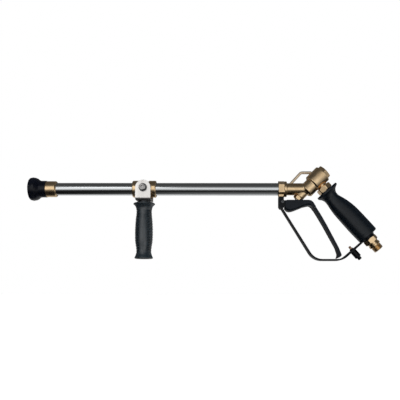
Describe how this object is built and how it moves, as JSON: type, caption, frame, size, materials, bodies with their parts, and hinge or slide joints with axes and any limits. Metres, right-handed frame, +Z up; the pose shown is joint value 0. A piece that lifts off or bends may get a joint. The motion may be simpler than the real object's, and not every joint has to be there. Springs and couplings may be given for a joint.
{
  "type": "high-pressure spray gun",
  "caption": "Two-handled high-pressure spray lance with a squeeze lever valve, a turning front handle and a rubber-bell nozzle.",
  "frame": {"origin": "middle of the bottom of the bounding box, on the surface the trigger guard rests on", "axes": "+Z up, X along the lance with the nozzle at -X and the inlet at +X, Y across the gun"},
  "size_m": [0.7203, 0.0632, 0.1934],
  "materials": {
    "bell_rubber": "moulded satin black rubber",
    "seal_rubber": "black seal rubber",
    "machined_brass": "turned, satin",
    "cast_brass": "blasted casting, satin",
    "bow_brass": "satin, slightly dull",
    "ceramic": "white technical ceramic",
    "tube_chrome": "bright plated steel tube",
    "inner_steel": "turned stainless steel",
    "bracket_steel": "satin stainless sheet",
    "dark_steel": "dark zinc",
    "screw_steel": "bright zinc",
    "spring_steel": "drawn wire",
    "packing": "white packing",
    "front_grip_rubber": "ribbed satin black",
    "rear_grip_rubber": "smooth satin black",
    "black_paint": "satin black coat",
    "lever_black": "satin black coat",
    "latch_copper": "copper-coloured pin"
  },
  "bodies": {
    "gun": {"rear_tube": "tube_chrome", "rear_rod_guide": "machined_brass", "gun_body": "cast_brass", "hanging_bow": "bow_brass", "valve_plug": "cast_brass", "plug_seal": "seal_rubber", "valve_spring": "spring_steel", "valve_seat": "inner_steel", "stem_packing": "packing", "gland_nut": "machined_brass", "hinge_bracket": "black_paint", "bracket_screw": "screw_steel", "hinge_pin": "dark_steel", "hinge_clip": "screw_steel", "trigger_guard": "black_paint", "guard_rivet": "black_paint", "latch_housing": "black_paint", "latch_spring": "spring_steel", "handle_nipple": "machined_brass", "feed_pipe": "inner_steel", "rear_grip": "rear_grip_rubber", "end_washer": "black_paint", "inlet_fitting": "machined_brass"},
    "lance_front": {"nozzle_protector": "bell_rubber", "nozzle_holder": "machined_brass", "nozzle_tip": "machined_brass", "orifice_disc": "ceramic", "front_rod_guide": "machined_brass", "front_tube": "tube_chrome", "coupling": "machined_brass", "coupling_nut": "machined_brass", "swivel_seal": "seal_rubber", "grip_bracket": "bracket_steel", "side_washer_near": "dark_steel", "side_washer_far": "dark_steel", "side_screw_near": "screw_steel", "side_screw_far": "screw_steel", "grip_spacer": "dark_steel", "grip_bolt": "dark_steel", "front_grip": "front_grip_rubber", "grip_nut": "dark_steel"},
    "jet_rod": {"lance_rod": "inner_steel", "swirl_core": "machined_brass"},
    "trigger": {"trigger_lever": "lever_black"},
    "valve_rod": {"valve_poppet": "inner_steel", "valve_stem": "inner_steel"},
    "latch": {"latch_pin": "latch_copper", "latch_button": "black_paint"}
  },
  "joints": [
    {"name": "jet_turn", "type": "hinge", "parent": "gun", "child": "lance_front", "pos_m": [-0.1264, 0, 0.1463], "axis": [1, 0, 0], "range_deg": [-90, 90]},
    {"name": "jet_shift", "type": "slide", "parent": "gun", "child": "jet_rod", "axis": [1, 0, 0], "range_m": [-0.0017, 0.0017]},
    {"name": "trigger_pull", "type": "hinge", "parent": "gun", "child": "trigger", "pos_m": [0.1555, 0, 0.1188], "axis": [0, -1, 0], "range_deg": [0, 14.5], "stiffness_Nm_per_rad": 2, "springref_deg": -11.46},
    {"name": "valve_lift", "type": "slide", "parent": "gun", "child": "valve_rod", "axis": [0.7071, 0, 0.7071], "range_m": [0, 0.0047], "deforming": ["valve_spring"]},
    {"name": "latch_push", "type": "slide", "parent": "gun", "child": "latch", "axis": [-0.6613, 0, 0.7501], "range_m": [0, 0.0055], "stiffness_N_per_m": 300, "springref_m": -0.004, "deforming": ["latch_spring"]}
  ],
  "couplings": [
    {"joint": "jet_shift", "follows": "jet_turn", "m_per_rad": 0.001},
    {"joint": "valve_lift", "follows": "trigger_pull", "m_per_rad": 0.018}
  ]
}
